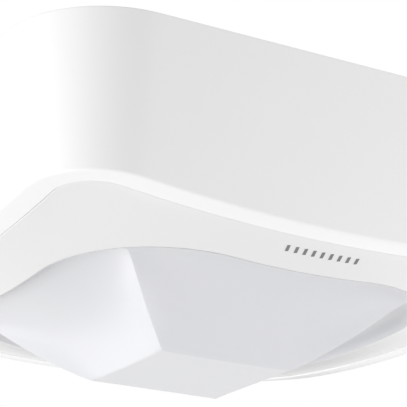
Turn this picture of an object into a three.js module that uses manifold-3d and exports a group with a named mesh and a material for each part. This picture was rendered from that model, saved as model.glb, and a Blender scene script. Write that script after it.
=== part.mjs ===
// Ceiling presence and motion sensor, surface mounted.
// Millimetres, +Z up. The ceiling is the plane z = 0 and the sensor hangs below it.
// The vertical axis of the sensor is the Z axis, and its four sides face +X, +Y, -X and -Y.

import * as THREE from 'three';
import { mergeVertices } from 'three/addons/utils/BufferGeometryUtils.js';
import Module from 'manifold-3d';

const wasm = await Module();
wasm.setup();

// Driving dimensions.

const GAP = 0.3; // between pieces that touch
const WALL = 2.2; // housing wall

const HOUSING_HALF = 60; // half width at the ceiling
const HOUSING_CORNER = 18.8; // corner radius at the ceiling
const DRAFT = 3.3; // how far the wall leans in from top to foot
const WALL_FOOT_Z = -30.9; // foot of the wall at the middle of a side
const EDGE_RISE = 0.00146; // every lower edge lifts by this times (r^2 - half^2)

const COVER_HALF = 51.65; // outer edge of the cover plate
const COVER_CORNER = 8.35;
const COVER_EDGE_Z = -31.5;
const COVER_THICK = 1.6;

const LENS_HALF = 39.8; // where the lens meets the cover plate
const LENS_CORNER = 26;
const LENS_RIM_Z = -33.8;
const LENS_RIM_RISE = 0.00246;
const LENS_FLAT_HALF = 13.97; // flat square at the middle of the lens
const LENS_FLAT_Z = -44.8;
const LENS_WALL = 1.1;
const SCOOP_POWER = 3.2; // hollow of a scoop along its middle line
const RIDGE_POWER = 0.95; // hollow along the ridge between two scoops
const BOWL = 3.5; // how strongly a scoop curls back towards its outer edge

const PLATE_THICK = 2.4; // back plate
const PLATE_HALF = 57;
const LEDGE_TOP_Z = -22; // ledge inside the housing that the chassis rests on
const LEDGE_BOTTOM_Z = -24;
const LEDGE_HALF = 44.5;

const CHASSIS_HALF = 51.2;
const CHASSIS_CORNER = 15;
const CHASSIS_BACK_Z = LEDGE_BOTTOM_Z - GAP;
const CHASSIS_FRONT_Z = CHASSIS_BACK_Z - 2;
const FLANGE_BACK_Z = CHASSIS_FRONT_Z - GAP;
const FLANGE_FRONT_Z = FLANGE_BACK_Z - 1.7;

const BOARD_THICK = 1.6;
const POWER_BOARD_BACK_Z = -6;
const POWER_BOARD_FRONT_Z = POWER_BOARD_BACK_Z - BOARD_THICK;
const SENSOR_BOARD_BACK_Z = -20.2;
const SENSOR_BOARD_FRONT_Z = SENSOR_BOARD_BACK_Z - BOARD_THICK;
const SENSOR_BOARD_HALF = 43.3;

const ENTRY = { x: 0, y: 42, radius: 10 }; // cable entry in the back plate
const MODULE_SCREW = { x: 47, y: 20 }; // repeated every quarter turn
const BOARD_SCREW = { x: 40.5, y: 12 }; // repeated every quarter turn
const HOOK = { x: 49.7, y: -20, width: 8, thick: 1.4 }; // repeated every quarter turn
const EAR = { x: 45.6, y: 0 }; // retainer ear, repeated every quarter turn
const CONTROL_RADIUS = 54.2; // distance of each control from the axis, on a diagonal
const SIDE_STEPS = 4; // straight steps along a side of a rounded square
const CORNER_STEPS = 8; // steps round a corner, even so that one point lies on the diagonal
const QUARTER = Math.PI / 2;

// Materials.

function plastic(color, roughness = 0.5) {
  return new THREE.MeshStandardMaterial({ color, roughness, metalness: 0 });
}

function metal(color, roughness = 0.35) {
  return new THREE.MeshStandardMaterial({ color, roughness, metalness: 1 });
}

const MATERIALS = {
  white: plastic('#f1f2f2', 0.42),
  coverWhite: plastic('#eceded', 0.4),
  lens: plastic('#e9ebee', 0.35),
  inner: plastic('#dcdedd', 0.6),
  board: plastic('#1f6b3c', 0.5),
  black: plastic('#1d1f21', 0.55),
  rubber: plastic('#8f9392', 0.85),
  terminal: plastic('#5f8f6a', 0.5),
  relay: plastic('#2c6fb3', 0.45),
  yellow: plastic('#c9a13a', 0.5),
  capacitor: plastic('#23303f', 0.4),
  blueDisc: plastic('#2d5fa8', 0.5),
  dip: plastic('#a8322b', 0.5),
  slider: plastic('#f0efe8', 0.5),
  dial: plastic('#e7e4d8', 0.5),
  led: plastic('#d8473c', 0.2),
  clear: plastic('#d9e3e6', 0.15),
  steel: metal('#b9bcbf'),
  can: metal('#c7c4bb', 0.3),
};

// Geometry helpers.

function geometryOf(positions, indices) {
  const geometry = new THREE.BufferGeometry();
  geometry.setAttribute('position', new THREE.Float32BufferAttribute(positions, 3));
  geometry.setIndex(indices);
  return geometry;
}

function bare(geometry) {
  const copy = geometry.clone();
  copy.deleteAttribute('normal');
  copy.deleteAttribute('uv');
  return mergeVertices(copy, 1e-4);
}

function toManifold(geometry) {
  const merged = bare(geometry);
  return new wasm.Manifold(new wasm.Mesh({
    numProp: 3,
    vertProperties: new Float32Array(merged.attributes.position.array),
    triVerts: new Uint32Array(merged.index.array),
  }));
}

function fromManifold(solid) {
  const mesh = solid.getMesh();
  return geometryOf(Array.from(mesh.vertProperties), Array.from(mesh.triVerts));
}

function join(first, ...others) {
  let solid = toManifold(first);
  for (const other of others) solid = solid.add(toManifold(other));
  return fromManifold(solid);
}

function cut(first, ...tools) {
  let solid = toManifold(first);
  for (const tool of tools) solid = solid.subtract(toManifold(tool));
  return fromManifold(solid);
}

// A box from its centre in plan, its size and the heights of its two faces.
function box(x, y, width, depth, low, high) {
  const geometry = new THREE.BoxGeometry(width, depth, high - low);
  return geometry.translate(x, y, (low + high) / 2);
}

// An upright cylinder or cone between two heights.
function rod(x, y, radius, low, high, { segments = 16, topRadius = radius } = {}) {
  const geometry = new THREE.CylinderGeometry(topRadius, radius, high - low, segments);
  geometry.rotateX(QUARTER);
  return geometry.translate(x, y, (low + high) / 2);
}

// The same shape at each quarter turn round the axis.
function quarters(make) {
  return [0, 1, 2, 3].map((turn) => make().rotateZ(turn * QUARTER));
}

// Plan points of a square with round corners, counter-clockwise from the middle of the +X side.
function roundedSquare(half, corner) {
  const flat = half - corner;
  const quarter = [];
  for (let i = 0; i < SIDE_STEPS / 2; i++) {
    quarter.push([half, (flat * i) / (SIDE_STEPS / 2)]);
  }
  for (let i = 0; i < CORNER_STEPS; i++) {
    const angle = (QUARTER * i) / CORNER_STEPS;
    quarter.push([flat + corner * Math.cos(angle), flat + corner * Math.sin(angle)]);
  }
  for (let i = 0; i < SIDE_STEPS / 2; i++) {
    quarter.push([flat * (1 - i / (SIDE_STEPS / 2)), half]);
  }
  const points = [];
  for (let turn = 0; turn < 4; turn++) {
    const cos = Math.round(Math.cos(turn * QUARTER));
    const sin = Math.round(Math.sin(turn * QUARTER));
    for (const [x, y] of quarter) points.push([x * cos - y * sin, x * sin + y * cos]);
  }
  return points;
}

// A closed loop in space: a rounded square at height z, lifting towards its corners by rise.
function ring(half, corner, z, rise = 0) {
  return roundedSquare(half, corner).map(([x, y]) => [x, y, z + rise * (x * x + y * y - half * half)]);
}

// A closed body through a list of loops. A tube body joins its last loop to its first one,
// and any other body is closed at both ends by a fan to the axis.
function loft(rings, { tube = false } = {}) {
  const count = rings[0].length;
  const positions = rings.flat(2);
  const indices = [];
  const bands = tube ? rings.length : rings.length - 1;
  for (let r = 0; r < bands; r++) {
    const here = r * count;
    const next = ((r + 1) % rings.length) * count;
    for (let i = 0; i < count; i++) {
      const j = (i + 1) % count;
      indices.push(here + i, here + j, next + j, here + i, next + j, next + i);
    }
  }
  if (!tube) {
    for (const [r, flip] of [[0, true], [rings.length - 1, false]]) {
      const centre = positions.length / 3;
      positions.push(0, 0, rings[r][0][2]);
      for (let i = 0; i < count; i++) {
        const j = (i + 1) % count;
        const pair = flip ? [j, i] : [i, j];
        indices.push(r * count + pair[0], r * count + pair[1], centre);
      }
    }
  }
  return outward(geometryOf(positions, indices));
}

// The same mesh with its faces pointing out.
function outward(geometry) {
  const p = geometry.attributes.position;
  const index = geometry.index.array;
  const [a, b, c] = [new THREE.Vector3(), new THREE.Vector3(), new THREE.Vector3()];
  let volume = 0;
  for (let i = 0; i < index.length; i += 3) {
    a.fromBufferAttribute(p, index[i]);
    b.fromBufferAttribute(p, index[i + 1]);
    c.fromBufferAttribute(p, index[i + 2]);
    volume += a.dot(b.cross(c));
  }
  if (volume < 0) geometry.setIndex(Array.from(index).reverse());
  return geometry;
}

// A flat plate with a rounded square outline between two heights.
function plate(half, corner, low, high) {
  return loft([ring(half, corner, low), ring(half, corner, high)]);
}

const sensor = new THREE.Group();

function place(parent, name, geometry, material) {
  const mesh = new THREE.Mesh(geometry, material);
  mesh.name = name;
  parent.add(mesh);
  return mesh;
}

function add(name, geometry, material) {
  return place(sensor, name, geometry, material);
}

// Four alike, one at each quarter turn round the axis.
function addQuarters(name, geometry, material) {
  for (let turn = 0; turn < 4; turn++) {
    add(`${name}_${turn + 1}`, geometry, material).rotation.z = turn * QUARTER;
  }
}

// Housing: drafted wall, rounded foot, narrow rim band and an inner ledge.

function makeHousing() {
  const footHalf = HOUSING_HALF - DRAFT;
  const footCorner = HOUSING_CORNER - DRAFT;
  const lipHalf = COVER_HALF + 0.35;
  const lipCorner = COVER_CORNER + 0.35;
  const wall = loft([
    ring(HOUSING_HALF, HOUSING_CORNER, 0),
    ring(footHalf, footCorner, WALL_FOOT_Z, EDGE_RISE),
    ring(footHalf - 0.35, footCorner - 0.35, WALL_FOOT_Z - 0.7, EDGE_RISE),
    ring(footHalf - 1.2, footCorner - 1.2, WALL_FOOT_Z - 1.05, EDGE_RISE),
    ring(lipHalf + 0.35, lipCorner + 0.35, WALL_FOOT_Z - 0.75, EDGE_RISE),
    ring(lipHalf, lipCorner, WALL_FOOT_Z - 0.4, EDGE_RISE),
    ring(lipHalf, lipCorner, WALL_FOOT_Z + 2.3, EDGE_RISE),
    ring(footHalf - WALL, footCorner - WALL, WALL_FOOT_Z + 2.5, EDGE_RISE),
    ring(footHalf - WALL + 0.5, footCorner - WALL + 0.5, LEDGE_BOTTOM_Z),
    ring(LEDGE_HALF, 5, LEDGE_BOTTOM_Z),
    ring(LEDGE_HALF, 5, LEDGE_TOP_Z),
    ring(footHalf - WALL + 0.7, footCorner - WALL + 0.7, LEDGE_TOP_Z),
    ring(HOUSING_HALF - WALL, HOUSING_CORNER - WALL, 0),
  ], { tube: true });
  const holes = quarters(() => rod(MODULE_SCREW.x, MODULE_SCREW.y, 1.8, LEDGE_BOTTOM_Z - 1, LEDGE_TOP_Z + 1));
  return cut(wall, ...holes);
}

// Back plate: flat against the ceiling, with screw posts, board standoffs and the cable entry.

const MOUNTING_HOLE = { x: 42, y: 38, radius: 2.3 };
const POWER_SCREW = { x: 29, low: -31, high: 26 };
const POST_END_Z = LEDGE_TOP_Z + GAP;

function powerScrewPlaces() {
  const { x, low, high } = POWER_SCREW;
  return [[x, low], [x, high], [-x, low], [-x, high]];
}

function makeBackPlate() {
  const body = plate(PLATE_HALF, HOUSING_CORNER - 3, -PLATE_THICK, 0);
  const posts = quarters(() => rod(MODULE_SCREW.x, MODULE_SCREW.y, 3.4, POST_END_Z, -PLATE_THICK / 2));
  const pilots = quarters(() => rod(MODULE_SCREW.x, MODULE_SCREW.y, 1.5, POST_END_Z - 1, -8));
  const standoffs = powerScrewPlaces().map(([x, y]) => (
    rod(x, y, 2.6, POWER_BOARD_BACK_Z + GAP, -PLATE_THICK / 2)
  ));
  const boardPilots = powerScrewPlaces().map(([x, y]) => rod(x, y, 1.2, POWER_BOARD_BACK_Z - 1, -1.6));
  const mountingHoles = [-1, 1].flatMap((sx) => [-1, 1].map((sy) => (
    rod(sx * MOUNTING_HOLE.x, sy * MOUNTING_HOLE.y, MOUNTING_HOLE.radius, -PLATE_THICK - 1, 1)
  )));
  const entry = rod(ENTRY.x, ENTRY.y, ENTRY.radius, -PLATE_THICK - 1, 1, { segments: 24 });
  return cut(join(body, ...posts, ...standoffs), ...pilots, ...boardPilots, ...mountingHoles, entry);
}

// Cable grommet: a rubber ring in the entry, with a flange on the room side of the plate.

function makeGrommet() {
  const neck = ENTRY.radius - GAP;
  const flange = ENTRY.radius + 1.8;
  const bore = 6;
  const flangeZ = -PLATE_THICK - GAP;
  const profile = [
    [bore, -0.4], [bore, flangeZ - 1.6], [flange, flangeZ - 1.6], [flange, flangeZ], [neck, flangeZ],
    [neck, -0.4], [bore, -0.4],
  ].map(([r, z]) => new THREE.Vector2(r, z));
  const geometry = new THREE.LatheGeometry(profile, 24);
  geometry.rotateX(QUARTER);
  return outward(bare(geometry)).translate(ENTRY.x, ENTRY.y, 0);
}

// Fasteners: a cross-recessed pan head on a plain shank, pointing up towards the ceiling.

function makeScrew({ x = 0, y = 0, headZ, shank, length, head }) {
  const top = rod(x, y, head * 0.82, headZ - head * 0.6, headZ, { topRadius: head });
  const body = join(top, rod(x, y, shank, headZ - 0.1, headZ + length, { segments: 8 }));
  const recessTop = headZ - head * 0.3;
  const recessLow = headZ - head;
  return cut(
    body,
    box(x, y, head, head * 0.22, recessLow, recessTop),
    box(x, y, head * 0.22, head, recessLow, recessTop),
  );
}

// Power board and what stands on it.

const BOARD_X = 33;
const POWER_BOARD = { low: -35, high: 30 };
const PART_BACK_Z = POWER_BOARD_FRONT_Z - GAP;

function makePowerBoard() {
  const depth = POWER_BOARD.high - POWER_BOARD.low;
  const middle = (POWER_BOARD.high + POWER_BOARD.low) / 2;
  const board = box(0, middle, 2 * BOARD_X, depth, POWER_BOARD_FRONT_Z, POWER_BOARD_BACK_Z);
  const holes = powerScrewPlaces().map(([x, y]) => (
    rod(x, y, 1.5, POWER_BOARD_FRONT_Z - 1, POWER_BOARD_BACK_Z + 1)
  ));
  return cut(board, ...holes);
}

const TERMINAL = { y: 20, depth: 11, pitch: 8, count: 5, height: 10.5 };

function terminalPlaces() {
  return Array.from({ length: TERMINAL.count }, (_, i) => (i - (TERMINAL.count - 1) / 2) * TERMINAL.pitch);
}

function makeTerminalBlock() {
  const width = TERMINAL.count * TERMINAL.pitch + 1;
  const front = PART_BACK_Z - TERMINAL.height;
  const body = box(0, TERMINAL.y, width, TERMINAL.depth, front, PART_BACK_Z);
  const shoulder = box(0, TERMINAL.y + TERMINAL.depth / 2, width + 2, 4, front - 1, front + 3);
  const wells = terminalPlaces().map((x) => rod(x, TERMINAL.y - 1, 2.6, front - 1, front + 3.5));
  const ports = terminalPlaces().map((x) => (
    box(x, TERMINAL.y + TERMINAL.depth / 2, 4.2, 8, front + 4.5, front + 8.5)
  ));
  return cut(body, shoulder, ...wells, ...ports);
}

function makeTerminalScrew() {
  const front = PART_BACK_Z - TERMINAL.height;
  const head = rod(0, 0, 2.2, front + 1.4, front + 3.2);
  return cut(head, box(0, 0, 3.4, 0.7, front + 1, front + 2.1));
}

function makeTransformer(x, y) {
  const core = box(x, y, 17, 7, PART_BACK_Z - 9.2, PART_BACK_Z);
  const bobbin = box(x, y, 10, 15, PART_BACK_Z - 9.6, PART_BACK_Z - 0.4);
  const winding = box(x, y, 8.4, 17, PART_BACK_Z - 8.4, PART_BACK_Z - 1.6);
  return join(core, bobbin, winding);
}

function makeRelay(x, y) {
  const can = box(x, y, 19, 14.6, PART_BACK_Z - 9.2, PART_BACK_Z);
  const step = box(x, y, 17.6, 13.2, PART_BACK_Z - 9.5, PART_BACK_Z - 9);
  return join(can, step);
}

function makeSmoothingCapacitor(x, y) {
  const profile = [[0, 0], [4.5, 0], [4.5, 11.4], [4.1, 11.8], [4.1, 12.6], [4.5, 13], [4.5, 14], [0, 14]];
  const geometry = new THREE.LatheGeometry(profile.map(([r, z]) => new THREE.Vector2(r, z)), 20);
  return outward(bare(geometry)).translate(x, y, PART_BACK_Z - 4.6);
}

function makeFilmCapacitor(x, y) {
  return box(x, y, 13, 6, PART_BACK_Z - 9.5, PART_BACK_Z);
}

function makeFuse(x, y) {
  return join(
    rod(x, y, 4.2, PART_BACK_Z - 7.6, PART_BACK_Z),
    rod(x, y, 3.8, PART_BACK_Z - 8, PART_BACK_Z - 7),
  );
}

function makeVaristor(x, y) {
  const disc = new THREE.CylinderGeometry(4.6, 4.6, 3.4, 20);
  return disc.translate(x, y, PART_BACK_Z - 4.7);
}

// Plug on the power board and socket on the sensor board, mated inside the sensor.

const PLUG = { x: 24, y: -14, width: 5, depth: 14, pins: 5, pitch: 2.54 };
const PLUG_FRONT_Z = -12.2;
const SHIELD_FRONT_Z = -19.2;
const SHIELD_WALL = 1.4;

function makeBoardPlug() {
  const body = box(PLUG.x, PLUG.y, PLUG.width, PLUG.depth, PLUG_FRONT_Z, PART_BACK_Z);
  const pins = Array.from({ length: PLUG.pins }, (_, i) => (
    box(PLUG.x, PLUG.y + (i - (PLUG.pins - 1) / 2) * PLUG.pitch, 0.64, 0.64, PLUG_FRONT_Z - 5, PLUG_FRONT_Z + 1)
  ));
  return join(body, ...pins);
}

function makeBoardSocket() {
  const front = SENSOR_BOARD_BACK_Z + GAP;
  const back = PLUG_FRONT_Z - GAP;
  const body = box(PLUG.x, PLUG.y, PLUG.width, PLUG.depth, front, back);
  const slot = box(PLUG.x, PLUG.y, 1.4, PLUG.depth - 2, back - 5.4, back + 1);
  return cut(body, slot);
}

// Insulating cover over the mains parts, open towards the back plate.

const SHIELD = { x: 37, low: -38, high: 12.5 };

function makeInsulatingCover() {
  const depth = SHIELD.high - SHIELD.low;
  const middle = (SHIELD.high + SHIELD.low) / 2;
  const back = -PLATE_THICK - GAP;
  const outer = box(0, middle, 2 * SHIELD.x, depth, SHIELD_FRONT_Z, back);
  const inner = box(
    0, middle, 2 * (SHIELD.x - SHIELD_WALL), depth - 2 * SHIELD_WALL, SHIELD_FRONT_Z + SHIELD_WALL, back + 1,
  );
  const boardGap = box(
    0, SHIELD.high, 2 * (BOARD_X + GAP), 4, POWER_BOARD_FRONT_Z - GAP, back + 1,
  );
  const plugHole = box(PLUG.x, PLUG.y, PLUG.width + 1.2, PLUG.depth + 1.2, SHIELD_FRONT_Z - 1, SHIELD_FRONT_Z + 3);
  return cut(outer, inner, boardGap, plugHole);
}

// Sensor board and what stands on its room side.

const FRONT_PART_Z = SENSOR_BOARD_FRONT_Z - GAP;

function makeSensorBoard() {
  const board = plate(SENSOR_BOARD_HALF, 3, SENSOR_BOARD_FRONT_Z, SENSOR_BOARD_BACK_Z);
  const holes = quarters(() => (
    rod(BOARD_SCREW.x, BOARD_SCREW.y, 1.2, SENSOR_BOARD_FRONT_Z - 1, SENSOR_BOARD_BACK_Z + 1)
  ));
  return cut(board, ...holes);
}

// Pyroelectric detector: flanged metal can with a window on its end.
function makePyroSensor() {
  const flange = rod(0, 0, 4.7, FRONT_PART_Z - 0.8, FRONT_PART_Z);
  const can = rod(0, 0, 4.1, FRONT_PART_Z - 4.4, FRONT_PART_Z - 0.4);
  const window = box(0, 0, 4, 3, FRONT_PART_Z - 5, FRONT_PART_Z - 4.1);
  return cut(join(flange, can), window);
}

// A small moulded dome on a collar, for the light sensor and the status light.
function makeDome(radius, height) {
  const straight = height - radius;
  const steps = 4;
  const profile = [new THREE.Vector2(0, 0), new THREE.Vector2(radius + 0.4, 0)];
  profile.push(new THREE.Vector2(radius + 0.4, 0.8));
  for (let i = 0; i <= steps; i++) {
    const angle = (QUARTER * i) / steps;
    profile.push(new THREE.Vector2(radius * Math.cos(angle), straight + radius * Math.sin(angle)));
  }
  profile[profile.length - 1].x = 0;
  const geometry = new THREE.LatheGeometry(profile, 16);
  geometry.rotateX(-QUARTER);
  return outward(bare(geometry)).translate(0, 0, FRONT_PART_Z);
}

// Chassis: carries the lens, the sensor board and the controls.

function makeChassis() {
  const body = plate(CHASSIS_HALF, CHASSIS_CORNER, CHASSIS_FRONT_Z, CHASSIS_BACK_Z);
  const opening = plate(LENS_HALF - 1.8, LENS_CORNER - 1.7, CHASSIS_FRONT_Z - 1, CHASSIS_BACK_Z + 1);
  const postEnd = SENSOR_BOARD_FRONT_Z - GAP;
  const posts = quarters(() => rod(BOARD_SCREW.x, BOARD_SCREW.y, 2.3, CHASSIS_BACK_Z - 1, postEnd));
  const pilots = quarters(() => (
    rod(BOARD_SCREW.x, BOARD_SCREW.y, 1.2, CHASSIS_FRONT_Z + 0.6, postEnd + 1)
  ));
  const low = CHASSIS_FRONT_Z - 1;
  const high = CHASSIS_BACK_Z + 1;
  const screwHoles = quarters(() => rod(MODULE_SCREW.x, MODULE_SCREW.y, 1.8, low, high));
  const notches = quarters(() => box(HOOK.x + 1.2, HOOK.y, 4.6, HOOK.width + 1.2, low, high));
  const earHoles = quarters(() => rod(EAR.x, EAR.y, 1.4, low, high));
  const windows = CONTROLS.map((control) => (
    control.window(low, high).translate(CONTROL_RADIUS, 0, 0).rotateZ(control.angle)
  ));
  return cut(join(cut(body, opening), ...posts), ...pilots, ...screwHoles, ...notches, ...earHoles, ...windows);
}

// Lens: four hollow scoops that rise from a flat square and meet in diagonal ridges.

// A loop of the scooped surface: t is 0 on the flat square and 1 on the outer edge.
function scoopRing(t, inset, lift) {
  const flat = LENS_FLAT_HALF - inset * 0.4;
  const half = LENS_HALF - inset;
  return ring(half, LENS_CORNER - inset, LENS_RIM_Z, LENS_RIM_RISE).map(([x, y, rimZ]) => {
    const reach = Math.max(Math.abs(x), Math.abs(y));
    const sideways = Math.min(Math.abs(x), Math.abs(y)) / reach;
    const power = THREE.MathUtils.lerp(SCOOP_POWER, RIDGE_POWER, sideways ** 2);
    const rise = (rimZ - LENS_FLAT_Z) * (1 - (1 - t) ** power) + BOWL * t ** 3 * (1 - t ** 8);
    const scale = THREE.MathUtils.lerp(flat / reach, 1, t);
    return [x * scale, y * scale, LENS_FLAT_Z + lift + rise];
  });
}

function makeLens() {
  const steps = [0, 0.07, 0.16, 0.27, 0.4, 0.55, 0.7, 0.85, 1];
  const inset = LENS_WALL;
  const half = LENS_HALF;
  const corner = LENS_CORNER;
  return loft([
    ...steps.map((t) => scoopRing(t, 0, 0)),
    ring(half, corner, FLANGE_FRONT_Z),
    ring(half + 3.1, corner + 3, FLANGE_FRONT_Z),
    ring(half + 3.1, corner + 3, FLANGE_BACK_Z),
    ring(half - inset, corner - inset, FLANGE_BACK_Z),
    ...steps.toReversed().map((t) => scoopRing(t, inset, LENS_WALL)),
  ]);
}

const RETAINER_BACK_Z = FLANGE_FRONT_Z - GAP;
const RETAINER_FRONT_Z = RETAINER_BACK_Z - 1;
const EAR_POCKET = 0.7; // depth of the pocket round each screw head

function makeLensRetainer() {
  const front = RETAINER_FRONT_Z;
  const back = RETAINER_BACK_Z;
  const half = LENS_HALF + 0.5;
  const body = loft([
    ring(half, LENS_CORNER + 0.5, front),
    ring(half + 3.3, LENS_CORNER + 3.5, front),
    ring(half + 3.3, LENS_CORNER + 3.5, back),
    ring(half, LENS_CORNER + 0.5, back),
  ], { tube: true });
  const ears = quarters(() => box(EAR.x, EAR.y, 4.6, 8, back - 0.3, FLANGE_BACK_Z));
  const bridges = quarters(() => box(EAR.x - 2, EAR.y, 4, 8, front, back));
  const holes = quarters(() => rod(EAR.x, EAR.y, 1.4, front - 1, CHASSIS_FRONT_Z));
  const pockets = quarters(() => rod(EAR.x, EAR.y, 2.4, front - 1, front + EAR_POCKET));
  return cut(join(body, ...ears, ...bridges), ...holes, ...pockets);
}

// Cover plate: a shallow dome from the rim of the housing to the lens, with four clip legs.

function makeCoverPlate() {
  const edge = COVER_HALF - 0.3;
  const edgeCorner = COVER_CORNER - 0.15;
  const mouth = LENS_HALF + 0.5;
  const mouthCorner = LENS_CORNER + 0.3;
  const mouthZ = LENS_RIM_Z + 0.05;
  const slope = (t, lift) => ring(
    THREE.MathUtils.lerp(edge, mouth, t),
    THREE.MathUtils.lerp(edgeCorner, mouthCorner, t),
    THREE.MathUtils.lerp(COVER_EDGE_Z, mouthZ, t) + lift,
    THREE.MathUtils.lerp(EDGE_RISE, LENS_RIM_RISE, t),
  );
  const steps = [0, 0.25, 0.5, 0.75, 1];
  const skirtZ = COVER_EDGE_Z + 2.4;
  const shell = loft([
    ring(COVER_HALF, COVER_CORNER, skirtZ, EDGE_RISE),
    ring(COVER_HALF, COVER_CORNER, COVER_EDGE_Z + 0.35, EDGE_RISE),
    ...steps.map((t) => slope(t, 0)),
    ring(LENS_HALF + 0.3, LENS_CORNER + 0.1, mouthZ + 0.2, LENS_RIM_RISE),
    ring(LENS_HALF + 0.3, LENS_CORNER + 0.1, mouthZ + COVER_THICK, LENS_RIM_RISE),
    slope(0.92, COVER_THICK),
    slope(0.5, COVER_THICK),
    slope(0.12, COVER_THICK),
    ring(COVER_HALF - 1.3, COVER_CORNER - 0.8, skirtZ, EDGE_RISE),
  ], { tube: true });
  const legs = quarters(() => (
    box(HOOK.x, HOOK.y, HOOK.thick, HOOK.width, COVER_EDGE_Z + 1.1, CHASSIS_BACK_Z - 0.5)
  ));
  return join(shell, ...legs);
}

// Controls under the cover plate, one in each corner. Each is drawn with its own centre
// at the origin and +X pointing away from the sensor's axis.

const DIAL_RADIUS = 4.2;
const DIAL_FRONT_Z = CHASSIS_FRONT_Z - 1.3;
const SLIDER_PITCH = 2.54;
const SLIDER = { length: 1.5, width: 1.3, travel: 1.6 };
const BUTTON_RADIUS = 2.7;
const BUTTON_TRAVEL = 0.8;
const CONTROL_BODY_FRONT_Z = CHASSIS_BACK_Z + GAP;

function makeTrimmer() {
  const body = box(0, 0, 7.6, 7.6, CONTROL_BODY_FRONT_Z, FRONT_PART_Z);
  return cut(body, rod(0, 0, 2.1, CONTROL_BODY_FRONT_Z - 1, FRONT_PART_Z + 1));
}

function makeDial() {
  const back = CONTROL_BODY_FRONT_Z - 0.7;
  const disc = rod(0, 0, DIAL_RADIUS - 0.3, DIAL_FRONT_Z, back, { segments: 24, topRadius: DIAL_RADIUS });
  const shaft = rod(0, 0, 1.8, back - 0.2, FRONT_PART_Z - 0.3);
  const slot = box(0, 0, 6.4, 1.1, DIAL_FRONT_Z - 1, DIAL_FRONT_Z + 1.1);
  const pointer = box(-2.6, 0, 1.6, 2.4, DIAL_FRONT_Z - 1, DIAL_FRONT_Z + 0.5);
  return cut(join(disc, shaft), slot, pointer);
}

const DIP_FRONT_Z = CHASSIS_FRONT_Z - 0.5;

function sliderPlaces() {
  return [-1.5, -0.5, 0.5, 1.5].map((step) => step * SLIDER_PITCH);
}

function makeDipSwitch() {
  const body = box(0, 0, 5.4, 11.2, DIP_FRONT_Z, FRONT_PART_Z);
  const length = SLIDER.length + SLIDER.travel + 2 * GAP;
  const slots = sliderPlaces().map((y) => (
    box(0, y, length, SLIDER.width + 2 * GAP, DIP_FRONT_Z - 1, DIP_FRONT_Z + 1.6)
  ));
  return cut(body, ...slots);
}

function makeDipSlider(y) {
  const x = -SLIDER.travel / 2;
  return box(x, y, SLIDER.length, SLIDER.width, DIP_FRONT_Z - 0.8, DIP_FRONT_Z + 1.6 - GAP);
}

function makeProgramSwitch() {
  return box(0, 0, 6.2, 6.2, CONTROL_BODY_FRONT_Z, FRONT_PART_Z);
}

function makeProgramButton() {
  const back = CONTROL_BODY_FRONT_Z - GAP - BUTTON_TRAVEL;
  const front = CHASSIS_FRONT_Z - 1.9;
  return join(
    rod(0, 0, BUTTON_RADIUS, front + 0.3, back),
    rod(0, 0, BUTTON_RADIUS - 0.4, front, front + 0.6, { topRadius: BUTTON_RADIUS }),
  );
}

const dialWindow = (low, high) => rod(0, 0, DIAL_RADIUS + 0.4, low, high, { segments: 24 });
const dipWindow = (low, high) => box(-1, 0, 6.2, 12, low, high);
const buttonWindow = (low, high) => rod(0, 0, BUTTON_RADIUS + 0.4, low, high);

const CONTROLS = [
  { name: 'time', angle: -3 * QUARTER / 2, window: dialWindow },
  { name: 'light', angle: -QUARTER / 2, window: dialWindow },
  { name: 'program', angle: QUARTER / 2, window: buttonWindow },
  { name: 'dip', angle: 3 * QUARTER / 2, window: dipWindow },
];

function controlGroup(name) {
  const arm = new THREE.Group();
  arm.rotation.z = CONTROLS.find((control) => control.name === name).angle;
  const group = new THREE.Group();
  group.position.x = CONTROL_RADIUS;
  arm.add(group);
  sensor.add(arm);
  return group;
}

// Assembly.

function addBase() {
  add('back_plate', makeBackPlate(), MATERIALS.white);
  add('cable_grommet', makeGrommet(), MATERIALS.rubber);
  add('housing', makeHousing(), MATERIALS.white);
}

function addPowerBoard() {
  add('power_board', makePowerBoard(), MATERIALS.board);
  powerScrewPlaces().forEach(([x, y], i) => {
    const screw = makeScrew({ headZ: PART_BACK_Z, shank: 0.9, length: 5, head: 2.2 });
    add(`power_board_screw_${i + 1}`, screw, MATERIALS.steel).position.set(x, y, 0);
  });
  add('terminal_block', makeTerminalBlock(), MATERIALS.terminal);
  terminalPlaces().forEach((x, i) => {
    const screw = add(`terminal_screw_${i + 1}`, makeTerminalScrew(), MATERIALS.steel);
    screw.position.set(x, TERMINAL.y - 1, 0);
  });
  add('transformer', makeTransformer(-9, -22), MATERIALS.yellow);
  add('relay', makeRelay(10, 2), MATERIALS.relay);
  add('smoothing_capacitor', makeSmoothingCapacitor(11, -31), MATERIALS.capacitor);
  add('film_capacitor', makeFilmCapacitor(-23, 6), MATERIALS.yellow);
  add('fuse', makeFuse(-10, 4), MATERIALS.black);
  add('varistor', makeVaristor(-25, -8), MATERIALS.blueDisc);
  add('board_plug', makeBoardPlug(), MATERIALS.black);
  add('insulating_cover', makeInsulatingCover(), MATERIALS.inner);
}

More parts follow.
